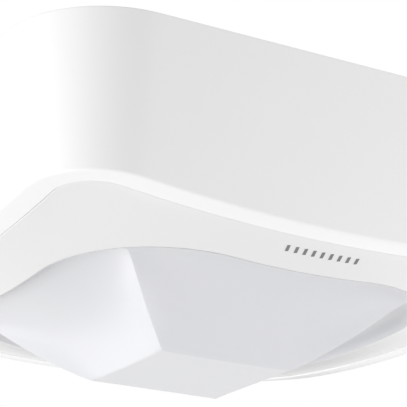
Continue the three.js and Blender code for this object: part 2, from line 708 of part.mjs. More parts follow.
function addSensorBoard() {
  const boardScrew = makeScrew({ headZ: 0, shank: 0.9, length: 4.8, head: 1.9 });
  boardScrew.rotateX(Math.PI).translate(BOARD_SCREW.x, BOARD_SCREW.y, SENSOR_BOARD_BACK_Z + GAP);
  add('sensor_board', makeSensorBoard(), MATERIALS.board);
  addQuarters('sensor_board_screw', boardScrew, MATERIALS.steel);
  add('board_socket', makeBoardSocket(), MATERIALS.black);
  add('controller_chip', box(0, 0, 7, 7, FRONT_PART_Z - 1.2, FRONT_PART_Z), MATERIALS.black);
  for (const [side, x, y] of [['right', 12, 0], ['back', 0, 12], ['left', -12, 0], ['front', 0, -12]]) {
    const mesh = add(`pyro_sensor_${side}`, makePyroSensor(), MATERIALS.can);
    mesh.position.set(x, y, 0);
  }
  add('light_sensor', makeDome(2.1, 4.2), MATERIALS.clear).position.set(9, 9, 0);
  add('status_led', makeDome(1.5, 4), MATERIALS.led).position.set(-9, -9, 0);
}

function addFront() {
  const moduleScrew = makeScrew({
    ...MODULE_SCREW, headZ: CHASSIS_FRONT_Z - GAP, shank: 1.2, length: 17.5, head: 3,
  });
  const retainerScrew = makeScrew({
    ...EAR, headZ: RETAINER_FRONT_Z + EAR_POCKET - GAP, shank: 1.1, length: 5, head: 1.9,
  });
  add('chassis', makeChassis(), MATERIALS.inner);
  addQuarters('module_screw', moduleScrew, MATERIALS.steel);
  add('lens', makeLens(), MATERIALS.lens);
  add('lens_retainer', makeLensRetainer(), MATERIALS.inner);
  addQuarters('retainer_screw', retainerScrew, MATERIALS.steel);
  add('cover_plate', makeCoverPlate(), MATERIALS.coverWhite);
}

function addControls() {
  for (const name of ['time', 'light']) {
    const group = controlGroup(name);
    place(group, `${name}_control`, makeTrimmer(), MATERIALS.black);
    place(group, `${name}_dial`, makeDial(), MATERIALS.dial);
  }
  const program = controlGroup('program');
  place(program, 'program_switch', makeProgramSwitch(), MATERIALS.black);
  place(program, 'program_button', makeProgramButton(), MATERIALS.dial);
  const dip = controlGroup('dip');
  dip.position.x -= 1;
  place(dip, 'dip_switch', makeDipSwitch(), MATERIALS.dip);
  sliderPlaces().forEach((y, i) => place(dip, `dip_slider_${i + 1}`, makeDipSlider(y), MATERIALS.slider));
}

addBase();
addPowerBoard();
addSensorBoard();
addFront();
addControls();

export default sensor;
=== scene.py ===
# %% [markdown]
# # A ceiling motion sensor
#
# The sensor is a square white box that hangs under a ceiling. Four things make its look: a drafted
# satin housing, a thin flat rim, a shallow domed cover ring and a milky lens with four hollow scoops.
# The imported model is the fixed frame.

# %% Load the frame
import math

import bpy
import numpy as np
from mathutils import Matrix, Vector


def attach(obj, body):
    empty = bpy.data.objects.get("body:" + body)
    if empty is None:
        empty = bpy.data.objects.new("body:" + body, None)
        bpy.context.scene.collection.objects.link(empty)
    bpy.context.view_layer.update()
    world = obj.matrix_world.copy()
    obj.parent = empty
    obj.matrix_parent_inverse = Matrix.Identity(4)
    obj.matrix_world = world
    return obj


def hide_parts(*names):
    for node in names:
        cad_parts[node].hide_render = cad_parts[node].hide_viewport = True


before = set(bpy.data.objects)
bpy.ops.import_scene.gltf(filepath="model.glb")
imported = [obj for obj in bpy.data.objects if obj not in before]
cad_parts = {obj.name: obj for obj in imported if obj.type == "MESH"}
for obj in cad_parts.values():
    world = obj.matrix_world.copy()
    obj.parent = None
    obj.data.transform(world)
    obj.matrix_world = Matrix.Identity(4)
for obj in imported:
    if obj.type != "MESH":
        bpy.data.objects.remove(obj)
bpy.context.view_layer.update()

scene = bpy.context.scene
MM = 0.001
QUARTER = math.pi / 2

# %% [markdown]
# ## The camera comes first
#
# The camera looks up at one corner from below, through a long lens, so the ceiling edge and the rim
# stay nearly parallel. It is placed by what a photographer would say: the way it looks, how steeply
# it is tilted, how far away it is, and the point that it looks at.

# %% Camera
LOOK_TURN = math.radians(30.23)
LOOK_UP = math.radians(19.3)
ROLL = math.radians(0.67)
LOOK_FROM = 0.37
AIM = Vector((0.0018, -0.0013, -0.0086))
FOCAL_MM = 160.2

look = Vector((
    math.cos(LOOK_UP) * math.sin(LOOK_TURN),
    math.cos(LOOK_UP) * math.cos(LOOK_TURN),
    math.sin(LOOK_UP),
))
camera_data = bpy.data.cameras.new("camera")
camera_data.lens = FOCAL_MM
camera_data.sensor_width = 36
camera_data.clip_start = 0.01
camera = bpy.data.objects.new("camera", camera_data)
level_camera = look.to_track_quat("-Z", "Y").to_matrix().to_4x4()
camera.matrix_world = (
    Matrix.Translation(AIM - look * LOOK_FROM) @ level_camera @ Matrix.Rotation(ROLL, 4, "Z")
)
scene.collection.objects.link(camera)
scene.camera = camera
print("camera at", [round(v, 4) for v in camera.location])

# %% [markdown]
# ## Helpers for node trees
#
# One small function adds a node, sets it up and wires it. Every shader and every geometry tree below
# uses it. A second function turns the hex colours of a paint card into the linear values that the
# shader needs.

# %% Node helper and colour
def add_node(tree, kind, inputs=None, **settings):
    """Adds a node. Inputs are numbers or names, each with a value or a socket to link from."""
    node = tree.nodes.new(kind)
    for key, value in settings.items():
        setattr(node, key, value)
    for key, value in (inputs or {}).items():
        if isinstance(value, bpy.types.NodeSocket):
            tree.links.new(value, node.inputs[key])
        else:
            node.inputs[key].default_value = value
    return node


def linear(hex_colour):
    """sRGB hex to linear RGBA."""
    channels = [int(hex_colour[i:i + 2], 16) / 255 for i in (1, 3, 5)]
    return (*((c / 12.92 if c <= 0.04045 else ((c + 0.055) / 1.055) ** 2.4) for c in channels), 1)


def blank_material(name):
    """A material with an empty tree. Returns it with its tree and its object coordinates."""
    material = bpy.data.materials.new(name)
    material.use_nodes = True
    tree = material.node_tree
    tree.nodes.clear()
    return material, tree, add_node(tree, "ShaderNodeTexCoord").outputs["Object"]


def shaded(material, sockets):
    """Ends a material's tree with one shader that takes these sockets."""
    shader = add_node(material.node_tree, "ShaderNodeBsdfPrincipled", sockets)
    add_node(material.node_tree, "ShaderNodeOutputMaterial", {"Surface": shader.outputs[0]})
    return material


print("paper white is", [round(v, 3) for v in linear("#f3f4f4")])

# %% [markdown]
# ## Moulded plastic
#
# Nearly every piece is moulded plastic. What the eye reads on it is small: a very soft mottle in the
# colour where the melt flowed, a spark-eroded grain from the mould, and a gloss that varies with that
# grain. The three are mixed in one function, and each real plastic sets its own colours, grain size
# and gloss. Numbers that are the same all over are set on the shader's own sockets.

# %% Moulded plastics
FLOW_MM = 16  # size of the soft clouds that the flow of the melt leaves


def moulded(name, light, dark, roughness, grain_mm=0.35, relief=0.02, ior=1.49, spread=0.04, **sockets):
    """Moulded plastic: flow clouds in the colour, and a spark-eroded grain in gloss and relief."""
    material, tree, place = blank_material(name)
    clouds = add_node(tree, "ShaderNodeTexNoise", {
        "Vector": place, "Scale": 1 / (FLOW_MM * MM), "Detail": 3.0}).outputs["Fac"]
    grain = add_node(tree, "ShaderNodeTexNoise", {
        "Vector": place, "Scale": 1 / (grain_mm * MM), "Detail": 2.0}).outputs["Fac"]
    tint = add_node(tree, "ShaderNodeMix", {
        0: clouds, 6: linear(dark), 7: linear(light)}, data_type="RGBA").outputs[2]
    gloss = add_node(tree, "ShaderNodeMapRange", {
        "Value": grain, "To Min": roughness - spread, "To Max": roughness + spread}).outputs[0]
    bump = add_node(tree, "ShaderNodeBump", {
        "Height": grain, "Strength": relief, "Distance": grain_mm * MM}).outputs[0]
    return shaded(material, {
        "Base Color": tint, "Roughness": gloss, "IOR": ior, "Normal": bump, **sockets})


# White ABS, satin from a fine spark-eroded mould: soft broad highlights with no sharp glints.
WHITE_SATIN_ABS = moulded("white_satin_abs", "#f7f7f7", "#f5f5f5", 0.3, relief=0.012, ior=1.54)
# The cover ring comes from another mould and is a shade greyer than the housing.
COVER_SATIN_ABS = moulded("cover_satin_abs", "#e9e9e9", "#e7e7e7", 0.3, relief=0.012, ior=1.54)
# Inner pieces are plain matt ABS, since nobody polishes a mould for what stays out of sight.
MATT_INNER_ABS = moulded("matt_inner_abs", "#dfe1e0", "#d6d9d8", 0.6, grain_mm=0.5, relief=0.1, ior=1.54)
# Ivory ABS of the two dials and the button: warmer and glossier, so that a finger finds them.
IVORY_DIAL_ABS = moulded("ivory_dial_abs", "#e9e6d8", "#e1ddcd", 0.38, relief=0.03, ior=1.54)
# White acetal of the tiny sliders: waxy, with a soft low gloss.
WHITE_ACETAL = moulded("white_acetal", "#f2f1ea", "#eae8df", 0.42, ior=1.48)
# Glass-filled black PBT: short fibres at the surface break the gloss into fine speckle.
BLACK_FILLED_PBT = moulded(
    "black_glass_filled_pbt", "#2a2c2f", "#131416", 0.5, grain_mm=0.25, relief=0.2, ior=1.57, spread=0.14)
RED_SWITCH_PBT = moulded("red_switch_pbt", "#b03a32", "#9c2c26", 0.42, grain_mm=0.3, relief=0.08, ior=1.57)
GREEN_TERMINAL_PA = moulded("green_terminal_polyamide", "#67986f", "#578560", 0.5, relief=0.08, ior=1.53)
BLUE_RELAY_PBT = moulded("blue_relay_pbt", "#2f74b8", "#2864a3", 0.3, relief=0.04, ior=1.57)
# Natural rubber is matt and dusty, with talc left in its pores.
GREY_RUBBER = moulded(
    "grey_grommet_rubber", "#989b9a", "#7f8382", 0.85, grain_mm=0.6, relief=0.3, ior=1.52, spread=0.06)
# Shrink sleeve of the capacitor: thin PVC, tight and glossy.
DARK_SHRINK_SLEEVE = moulded(
    "dark_shrink_sleeve", "#273648", "#1e2b3a", 0.22, grain_mm=1.2, relief=0.05, ior=1.54)
# The varistor is dipped in epoxy, which dries to a fine orange peel.
DIPPED_BLUE_EPOXY = moulded(
    "dipped_blue_epoxy", "#3266b0", "#27549a", 0.25, grain_mm=0.9, relief=0.25, ior=1.55)
# Red diffused epoxy of the status light glows through its body.
RED_LED_EPOXY = moulded(
    "red_led_epoxy", "#de5246", "#d0443a", 0.12, relief=0.01, ior=1.55, spread=0.02,
    **{"Transmission Weight": 0.35})
CLEAR_EPOXY = moulded(
    "clear_epoxy", "#eef4f5", "#e3ecee", 0.08, relief=0.01, ior=1.55, spread=0.02,
    **{"Transmission Weight": 0.85})
print("moulded plastics:", len(bpy.data.materials))

# %% [markdown]
# ## The milky lens sheet
#
# The lens is thin polyethylene, because heat rays pass through it. It looks milky: light enters,
# scatters and comes out softly, and the sheet has faint cloudy streaks from being pressed. A little
# subsurface scatter gives the milk, and a low wide noise gives the clouds.

# %% Milky polyethylene
MILKY_POLYETHYLENE = moulded(
    "milky_pressed_polyethylene", "#dddde0", "#d9dadd", 0.36, grain_mm=0.8, relief=0.012, ior=1.51,
    **{"Subsurface Weight": 0.12, "Subsurface Scale": 0.0012, "Subsurface Radius": (1.0, 0.95, 0.9)})
print("lens sheet:", MILKY_POLYETHYLENE.name)

# %% [markdown]
# ## Plated steel
#
# The screws are zinc plated. Zinc gives a bluish white metal whose gloss changes from grain to grain.
# The detector cans are drawn from nickel-plated sheet, so they are warmer and smoother. A cell noise
# gives the plating its crystals, and metals keep the default IOR.

# %% Plated metals
def plated(name, light, dark, roughness, crystal_mm):
    """Plated sheet or wire: crystals in colour and gloss under a fine rubbed relief."""
    material, tree, place = blank_material(name)
    crystals = add_node(tree, "ShaderNodeTexVoronoi", {
        "Vector": place, "Scale": 1 / (crystal_mm * MM)}).outputs["Color"]
    shade = add_node(tree, "ShaderNodeSeparateColor", {0: crystals}).outputs[0]
    rub = add_node(tree, "ShaderNodeTexNoise", {
        "Vector": place, "Scale": 1 / (0.3 * MM), "Detail": 3.0}).outputs["Fac"]
    tint = add_node(tree, "ShaderNodeMix", {
        0: shade, 6: linear(dark), 7: linear(light)}, data_type="RGBA").outputs[2]
    gloss = add_node(tree, "ShaderNodeMapRange", {
        "Value": rub, "To Min": roughness - 0.08, "To Max": roughness + 0.1}).outputs[0]
    bump = add_node(tree, "ShaderNodeBump", {
        "Height": rub, "Strength": 0.08, "Distance": 0.1 * MM}).outputs[0]
    return shaded(material, {
        "Base Color": tint, "Roughness": gloss, "Metallic": 1.0, "Normal": bump})


ZINC_PLATED_STEEL = plated("zinc_plated_steel", "#c9cdd1", "#aeb3b8", 0.32, 0.5)
NICKEL_PLATED_CAN = plated("nickel_plated_can", "#cfcabd", "#b8b2a4", 0.26, 0.9)
print("metals:", ZINC_PLATED_STEEL.name, NICKEL_PLATED_CAN.name)

# %% [markdown]
# ## Circuit board and wound tape
#
# A circuit board is glass cloth in resin under green solder resist. Copper tracks show through the
# resist as slightly raised, lighter lines on a grid, with short diagonal runs. A brick pattern and a
# wave pattern draw them, and a fine noise gives the cloth. The transformer and the film capacitor are
# wrapped in amber tape, which shows as fine even bands.

# %% Solder resist over copper tracks
TRACK_PITCH_MM = 2.54  # the grid that the pads and tracks keep to


def solder_resist(name, bare, over_copper):
    material, tree, place = blank_material(name)
    tracks = add_node(tree, "ShaderNodeTexBrick", {
        "Vector": place, "Scale": 1 / (4 * TRACK_PITCH_MM * MM), "Mortar Size": 0.022,
        "Color1": (0, 0, 0, 1), "Color2": (0, 0, 0, 1), "Mortar": (1, 1, 1, 1)}, offset=0.37).outputs["Color"]
    links = add_node(tree, "ShaderNodeTexWave", {
        "Vector": place, "Scale": 1 / (6 * TRACK_PITCH_MM * MM), "Distortion": 0.0},
        bands_direction="DIAGONAL").outputs["Fac"]
    narrow = add_node(tree, "ShaderNodeMath", {0: links, 1: 0.97}, operation="GREATER_THAN").outputs[0]
    copper = add_node(tree, "ShaderNodeMath", {0: tracks, 1: narrow}, operation="MAXIMUM").outputs[0]
    cloth = add_node(tree, "ShaderNodeTexNoise", {
        "Vector": place, "Scale": 1 / (0.4 * MM), "Detail": 2.0}).outputs["Fac"]
    tint = add_node(tree, "ShaderNodeMix", {
        0: copper, 6: linear(bare), 7: linear(over_copper)}, data_type="RGBA").outputs[2]
    gloss = add_node(tree, "ShaderNodeMapRange", {
        "Value": cloth, "To Min": 0.28, "To Max": 0.4}).outputs[0]
    raised = add_node(tree, "ShaderNodeBump", {
        "Height": copper, "Strength": 0.5, "Distance": 0.06 * MM}).outputs[0]
    return shaded(material, {
        "Base Color": tint, "Roughness": gloss, "IOR": 1.55, "Normal": raised})


GREEN_SOLDER_RESIST = solder_resist("green_solder_resist", "#1b6238", "#2f8551")
print("board finish:", GREEN_SOLDER_RESIST.name)


# %% Wound amber tape
TAPE_MM = 1.1  # one turn of tape over the next, drawn coarser than the real 0.05 mm so that it shows


def wound_tape(name, light, dark):
    material, tree, place = blank_material(name)
    turns = add_node(tree, "ShaderNodeTexWave", {
        "Vector": place, "Scale": 0.314 / (TAPE_MM * MM), "Distortion": 1.5, "Detail": 1.0},
        bands_direction="Z").outputs["Fac"]
    tint = add_node(tree, "ShaderNodeMix", {
        0: turns, 6: linear(dark), 7: linear(light)}, data_type="RGBA").outputs[2]
    steps = add_node(tree, "ShaderNodeBump", {
        "Height": turns, "Strength": 0.3, "Distance": 0.08 * MM}).outputs[0]
    return shaded(material, {
        "Base Color": tint, "Roughness": 0.24, "IOR": 1.6, "Normal": steps})


AMBER_POLYESTER_TAPE = wound_tape("amber_polyester_tape", "#d8ac3c", "#c39129")
print("tape:", AMBER_POLYESTER_TAPE.name)

# %% [markdown]
# ## Finishes for the carried-over pieces
#
# The record gives each node a slot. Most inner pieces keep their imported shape, so all they need is
# the real finish in place of the plain one. One table pairs the slots with the finishes above.

# %% Slots and finishes
FINISHES = {
    "white_plastic": WHITE_SATIN_ABS,
    "cover_plastic": COVER_SATIN_ABS,
    "lens_polyethylene": MILKY_POLYETHYLENE,
    "inner_plastic": MATT_INNER_ABS,
    "circuit_board": GREEN_SOLDER_RESIST,
    "black_plastic": BLACK_FILLED_PBT,
    "grommet_rubber": GREY_RUBBER,
    "terminal_plastic": GREEN_TERMINAL_PA,
    "relay_case": BLUE_RELAY_PBT,
    "amber_plastic": AMBER_POLYESTER_TAPE,
    "capacitor_sleeve": DARK_SHRINK_SLEEVE,
    "varistor_coat": DIPPED_BLUE_EPOXY,
    "switch_red": RED_SWITCH_PBT,
    "slider_plastic": WHITE_ACETAL,
    "dial_plastic": IVORY_DIAL_ABS,
    "led_resin": RED_LED_EPOXY,
    "clear_resin": CLEAR_EPOXY,
    "screw_steel": ZINC_PLATED_STEEL,
    "sensor_can": NICKEL_PLATED_CAN,
}
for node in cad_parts.values():
    for place in node.material_slots:
        place.material = FINISHES[place.material.name]
print("finished", len(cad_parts), "nodes")

# %% [markdown]
# ## Rounded squares and lofts
#
# Most of the shell is a rounded square that changes a little from level to level. One function gives
# the plan points of a rounded square, another lifts them into a loop in space, and a third skins a
# list of loops. A profile row is (half width, corner radius, height, rise, rounding) in millimetres,
# where rise lifts a loop towards its corners and rounding softens that edge of the section. A loft
# was chosen over bevels, because the edges then keep the same radius all the way round.

# %% Loops
SIDE_STEPS = 24
CORNER_STEPS = 24


def rounded_square(half, corner):
    """Plan points, counter-clockwise from the middle of the +X side."""
    flat = half - corner
    quarter = [(half, flat * i / SIDE_STEPS) for i in range(SIDE_STEPS)]
    for i in range(CORNER_STEPS):
        angle = QUARTER * i / CORNER_STEPS
        quarter.append((flat + corner * math.cos(angle), flat + corner * math.sin(angle)))
    quarter += [(flat * (1 - i / SIDE_STEPS), half) for i in range(SIDE_STEPS)]
    points = []
    for cos, sin in ((1, 0), (0, 1), (-1, 0), (0, -1)):
        points += [(x * cos - y * sin, x * sin + y * cos) for x, y in quarter]
    return np.array(points)


def level(half, corner, z, rise=0.0):
    """A loop in space, in metres."""
    plan = rounded_square(half, corner)
    lift = rise * ((plan ** 2).sum(1) - half ** 2)
    return np.column_stack([plan, z + lift]) * MM


def soften(profile, steps=6):
    """Rounds the corners of a closed profile by each row's rounding."""
    rows = np.array(profile, float)
    out = []
    for i, row in enumerate(rows):
        here, reach = row[:4], row[4]
        if reach == 0:
            out.append(here)
            continue
        start, end = (
            here + (other - here) * min(0.5, reach / math.hypot(other[0] - here[0], other[2] - here[2]))
            for other in (rows[i - 1][:4], rows[(i + 1) % len(rows)][:4])
        )
        for t in np.linspace(0, 1, steps + 1):
            out.append(start * (1 - t) ** 2 + 2 * here * t * (1 - t) + end * t ** 2)
    return out


print("points in a loop:", len(rounded_square(1, 0.5)))


# %% Meshes from loops and profiles
def new_object(name, vertices, faces):
    """A mesh object with its place in its mesh."""
    mesh = bpy.data.meshes.new(name)
    mesh.from_pydata([tuple(v) for v in vertices], [], faces)
    mesh.validate()
    piece = bpy.data.objects.new(name, mesh)
    scene.collection.objects.link(piece)
    return piece


def dress(piece, material, smooth_angle=35, outward=True):
    """Turns the faces out, smooths below an angle and sets the finish."""
    bpy.ops.object.select_all(action="DESELECT")
    bpy.context.view_layer.objects.active = piece
    piece.select_set(True)
    if outward:
        bpy.ops.object.mode_set(mode="EDIT")
        bpy.ops.mesh.select_all(action="SELECT")
        bpy.ops.mesh.normals_make_consistent(inside=False)
        bpy.ops.object.mode_set(mode="OBJECT")
    bpy.ops.object.shade_smooth_by_angle(angle=math.radians(smooth_angle))
    piece.data.materials.clear()
    piece.data.materials.append(material)
    piece.data.polygons.foreach_set("material_index", [0] * len(piece.data.polygons))
    print(piece.name, "faces:", len(piece.data.polygons))
    return piece


def loft_faces(loop_count, count, tube=True):
    """Quads between loops. A tube joins the last loop to the first, and a cup closes both ends."""
    faces = []
    for r in range(loop_count if tube else loop_count - 1):
        here, there = r * count, (r + 1) % loop_count * count
        for i in range(count):
            j = (i + 1) % count
            faces.append((here + i, here + j, there + j, there + i))
    if not tube:
        faces += [tuple(range(count)), tuple(range((loop_count - 1) * count, loop_count * count))]
    return faces


def loft(name, loops, tube=True):
    return new_object(name, np.vstack(loops), loft_faces(len(loops), len(loops[0]), tube))


def lathe(name, profile, x=0, y=0, segments=32):
    """Turns a profile of (radius, height) in millimetres about an upright axis at x, y."""
    angles = [2 * math.pi * i / segments for i in range(segments)]
    loops = [
        np.array([(x + r * math.cos(a), y + r * math.sin(a), z) for a in angles]) * MM
        for r, z in profile
    ]
    return loft(name, loops, tube=False)


# %% [markdown]
# ## Helpers for geometry trees
#
# Geometry Nodes make what repeats. A tree gets one named input for each of its sizes. To bake it, the
# sizes are set on a modifier, the evaluated object gives a plain mesh, and the modifier goes away.

# %% Geometry trees
def new_tree(name, *sizes):
    """A geometry tree with one float input for each size. Returns the tree and its input node."""
    tree = bpy.data.node_groups.new(name, "GeometryNodeTree")
    for direction in ("INPUT", "OUTPUT"):
        tree.interface.new_socket("Geometry", in_out=direction, socket_type="NodeSocketGeometry")
    for size in sizes:
        tree.interface.new_socket(size, in_out="INPUT", socket_type="NodeSocketFloat")
    return tree, add_node(tree, "NodeGroupInput").outputs


def close_tree(tree, geometry, material):
    """Ends a tree: instances become real mesh and take their finish."""
    real = add_node(tree, "GeometryNodeRealizeInstances", {0: geometry}).outputs[0]
    done = add_node(tree, "GeometryNodeSetMaterial", {"Geometry": real, "Material": material}).outputs[0]
    add_node(tree, "NodeGroupOutput", {0: done})
    return tree


def keep_result(piece):
    """Puts the evaluated mesh in place of the piece's own and clears its modifiers."""
    graph = bpy.context.evaluated_depsgraph_get()
    made = bpy.data.meshes.new_from_object(piece.evaluated_get(graph), depsgraph=graph)
    piece.modifiers.clear()
    piece.data = made
    return made


def bake(piece, tree, sizes, smooth_angle=35, outward=True):
    """Runs a tree on a piece and keeps the result as its plain mesh."""
    modifier = piece.modifiers.new(tree.name, "NODES")
    modifier.node_group = tree
    for socket in tree.interface.items_tree:
        if socket.in_out == "INPUT" and socket.name in sizes:
            modifier[socket.identifier] = float(sizes[socket.name])
    made = keep_result(piece)
    finish = next(material for material in made.materials if material)
    return dress(piece, finish, smooth_angle, outward)


# %% [markdown]
# ## The tree that repeats by quarter turns
#
# The clip legs come in fours, one for each side of the sensor. The tree takes one leg and sets it on
# four points at the axis, each turned by a quarter more than the last.

# %% Quarter turns
def quarter_tree(name, material):
    tree, given = new_tree(name, "Count")
    points = add_node(tree, "GeometryNodePoints", {"Count": given["Count"]}).outputs[0]
    index = add_node(tree, "GeometryNodeInputIndex").outputs[0]
    angle = add_node(tree, "ShaderNodeMath", {0: index, 1: QUARTER}, operation="MULTIPLY").outputs[0]
    spin = add_node(tree, "ShaderNodeCombineXYZ", {"Z": angle}).outputs[0]
    turn = add_node(tree, "FunctionNodeEulerToRotation", {0: spin}).outputs[0]
    set_out = add_node(tree, "GeometryNodeInstanceOnPoints", {
        "Points": points, "Instance": given["Geometry"], "Rotation": turn}).outputs[0]
    return close_tree(tree, set_out, material)


clip_tree = quarter_tree("clips_in_quarter_turns", COVER_SATIN_ABS)
print("tree:", clip_tree.name)

# %% [markdown]
# ## Housing
#
# The housing is one moulding: a wall that leans in by a few degrees so that it leaves the mould, a
# rounded foot, a narrow rim band, and inside it a ledge that the chassis rests on. Its lower edge
# lifts towards the corners. The section is drawn once and lofted round the square. Four holes for the
# module screws are then cut through the ledge with a boolean.

# %% Housing shell
HOUSING_HALF, HOUSING_CORNER = 60.0, 18.8
FOOT_HALF, FOOT_CORNER, FOOT_Z = 56.7, 15.5, -31.1
EDGE_RISE = 0.00146
LIP_HALF, LIP_CORNER = 52.0, 8.7
RIM_OUTER_Z, RIM_INNER_Z = FOOT_Z - 0.25, FOOT_Z - 0.62
SHELL = 2.2
LEDGE_TOP, LEDGE_BOTTOM, LEDGE_HALF, LEDGE_CORNER = -22.0, -24.0, 44.5, 5.0
MODULE_SCREW_X, MODULE_SCREW_Y = 47.0, 20.0

housing_profile = [
    (HOUSING_HALF, HOUSING_CORNER, 0, 0, 0.3),
    (FOOT_HALF, FOOT_CORNER, RIM_OUTER_Z, EDGE_RISE, 0.6),
    (LIP_HALF, LIP_CORNER, RIM_INNER_Z, EDGE_RISE, 0.25),
    (LIP_HALF, LIP_CORNER, FOOT_Z + 2.3, EDGE_RISE, 0.2),
    (FOOT_HALF - SHELL, FOOT_CORNER - SHELL, FOOT_Z + 2.5, EDGE_RISE, 0.2),
    (FOOT_HALF - SHELL + 0.5, FOOT_CORNER - SHELL + 0.5, LEDGE_BOTTOM, 0, 0),
    (LEDGE_HALF, LEDGE_CORNER, LEDGE_BOTTOM, 0, 0.2),
    (LEDGE_HALF, LEDGE_CORNER, LEDGE_TOP, 0, 0.2),
    (FOOT_HALF - SHELL + 0.7, FOOT_CORNER - SHELL + 0.7, LEDGE_TOP, 0, 0),
    (HOUSING_HALF - SHELL, HOUSING_CORNER - SHELL, 0, 0, 0.3),
]
housing = loft("housing_shell", [level(*row) for row in soften(housing_profile)])
dress(housing, WHITE_SATIN_ABS)

# %% Holes through the ledge
HOLE_RADIUS = 1.8


def cut(piece, tools):
    """Cuts tools out of a piece, keeps the plain mesh and throws the tools away."""
    for tool in tools:
        dress(tool, piece.data.materials[0])
        modifier = piece.modifiers.new(tool.name, "BOOLEAN")
        modifier.operation = "DIFFERENCE"
        modifier.solver = "EXACT"
        modifier.object = tool
    made = keep_result(piece)
    for tool in tools:
        bpy.data.objects.remove(tool)
    return dress(piece, made.materials[0], outward=False)


def quarter_places(x, y):
    """The same place seen from each of the four sides."""
    return [(x, y), (-y, x), (-x, -y), (y, -x)]


cut(housing, [
    lathe("hole_tool", [(HOLE_RADIUS, LEDGE_BOTTOM - 1), (HOLE_RADIUS, LEDGE_TOP + 1)], x, y)
    for x, y in quarter_places(MODULE_SCREW_X, MODULE_SCREW_Y)
])
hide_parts("housing")
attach(housing, "base")

# %% [markdown]
# ## Cover ring
#
# The cover ring is a shallow dome between the rim and the lens. It pulls off towards the room, so it
# is held by four springy legs. The dome is another loft. Its height follows a power curve, which
# keeps it flat beside the rim and lets it dip towards the lens.

# %% Dome of the cover ring
COVER_HALF, COVER_CORNER, COVER_EDGE_Z = 51.85, 8.55, -31.62
MOUTH_HALF, MOUTH_CORNER, MOUTH_Z = 40.05, 26.15, -33.75
MOUTH_RISE = 0.00246
COVER_THICK = 1.6
COVER_SKIRT = 2.6
DOME_POWER = 1.35


def dome(t, lift=0.0):
    """A level of the domed face: t is 0 at the rim and 1 at the lens."""
    mixed = [
        a + (b - a) * s
        for a, b, s in (
            (COVER_HALF, MOUTH_HALF, t), (COVER_CORNER, MOUTH_CORNER, t),
            (COVER_EDGE_Z, MOUTH_Z, t ** DOME_POWER), (EDGE_RISE, MOUTH_RISE, t),
        )
    ]
    return mixed[0], mixed[1], mixed[2] + lift, mixed[3]


skirt_top = COVER_EDGE_Z + COVER_SKIRT
cover_profile = [(COVER_HALF, COVER_CORNER, skirt_top, EDGE_RISE, 0), (*dome(0), 0.4)]
cover_profile += [(*dome(t), 0) for t in np.linspace(0.08, 0.95, 16)]
cover_profile += [
    (*dome(1.0), 0.2),
    (MOUTH_HALF, MOUTH_CORNER, MOUTH_Z + COVER_THICK, MOUTH_RISE, 0.2),
]
cover_profile += [(*dome(t, COVER_THICK), 0) for t in np.linspace(0.85, 0.14, 8)]
cover_profile += [(COVER_HALF - 1.3, COVER_CORNER - 0.8, skirt_top, EDGE_RISE, 0)]
cover = dress(loft("cover_ring", [level(*row) for row in soften(cover_profile)]), COVER_SATIN_ABS)
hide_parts("cover_plate")
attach(cover, "cover")

# %% [markdown]
# ## Clip legs
#
# Each leg is a small tapered blade that grips the chassis by friction. One is drawn as a stack of
# rounded rectangles, thinner at its tip, and the quarter-turn tree repeats it.

# %% One leg, then four
LEG_X, LEG_Y, LEG_WIDTH, LEG_THICK = 49.7, -20.0, 8.0, 1.4
LEG_FOOT_Z, LEG_TIP_Z = COVER_EDGE_Z + 1.2, -24.8


def rounded_block(x, y, width, depth, z, corner=0.3, steps=4):
    """A rectangular loop with round corners, in metres."""
    points = []
    for quarter_turn, (sx, sy) in enumerate(((1, 1), (-1, 1), (-1, -1), (1, -1))):
        for i in range(steps + 1):
            angle = QUARTER * (quarter_turn + i / steps)
            points.append((
                x + sx * (width / 2 - corner) + corner * math.cos(angle),
                y + sy * (depth / 2 - corner) + corner * math.sin(angle),
                z,
            ))
    return np.array(points) * MM


leg_rows = [(0, LEG_FOOT_Z), (0, LEG_TIP_Z - 0.9), (0.25, LEG_TIP_Z - 0.2), (0.45, LEG_TIP_Z)]
legs = loft("cover_clip_legs", [
    rounded_block(LEG_X, LEG_Y, LEG_THICK - taper, LEG_WIDTH - 2 * taper, z) for taper, z in leg_rows
], tube=False)
bake(legs, clip_tree, {"Count": 4})
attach(legs, "cover")

# %% [markdown]
# ## Lens
#
# The lens is the face of the sensor. Four hollow scoops rise from a flat square to a soft outer edge,
# and two scoops meet in a ridge. The whole face follows one rule: along a line from the flat square
# to the rim, the height climbs fast and then levels out, and the power of that climb falls from the
# middle of a side to the ridge. A rule like that is a job for Geometry Nodes. The script lays out the
# loops and stores how far along each one is, and the tree moves every point to its height.

# %% Lens rule as a tree
LENS_SIZES = {
    "Flat half": 13.95 * MM, "Flat height": -44.75 * MM, "Scoop power": 3.2, "Ridge power": 0.95,
    "Bowl": 3.5 * MM, "Fillet": 0.45 * MM,
}
lens_tree, size = new_tree("scooped_lens_face", *LENS_SIZES)
known = {name: size[name] for name in LENS_SIZES}
for label in ("along", "wall"):
    known[label] = add_node(lens_tree, "GeometryNodeInputNamedAttribute", {
        "Name": label}, data_type="FLOAT").outputs[0]
rim = add_node(lens_tree, "ShaderNodeSeparateXYZ", {
    0: add_node(lens_tree, "GeometryNodeInputPosition").outputs[0]}).outputs
known.update(rim_x=rim[0], rim_y=rim[1], rim_z=rim[2])
known["left"] = add_node(lens_tree, "ShaderNodeMath", {
    0: 1.0, 1: known["along"]}, operation="SUBTRACT", use_clamp=True).outputs[0]

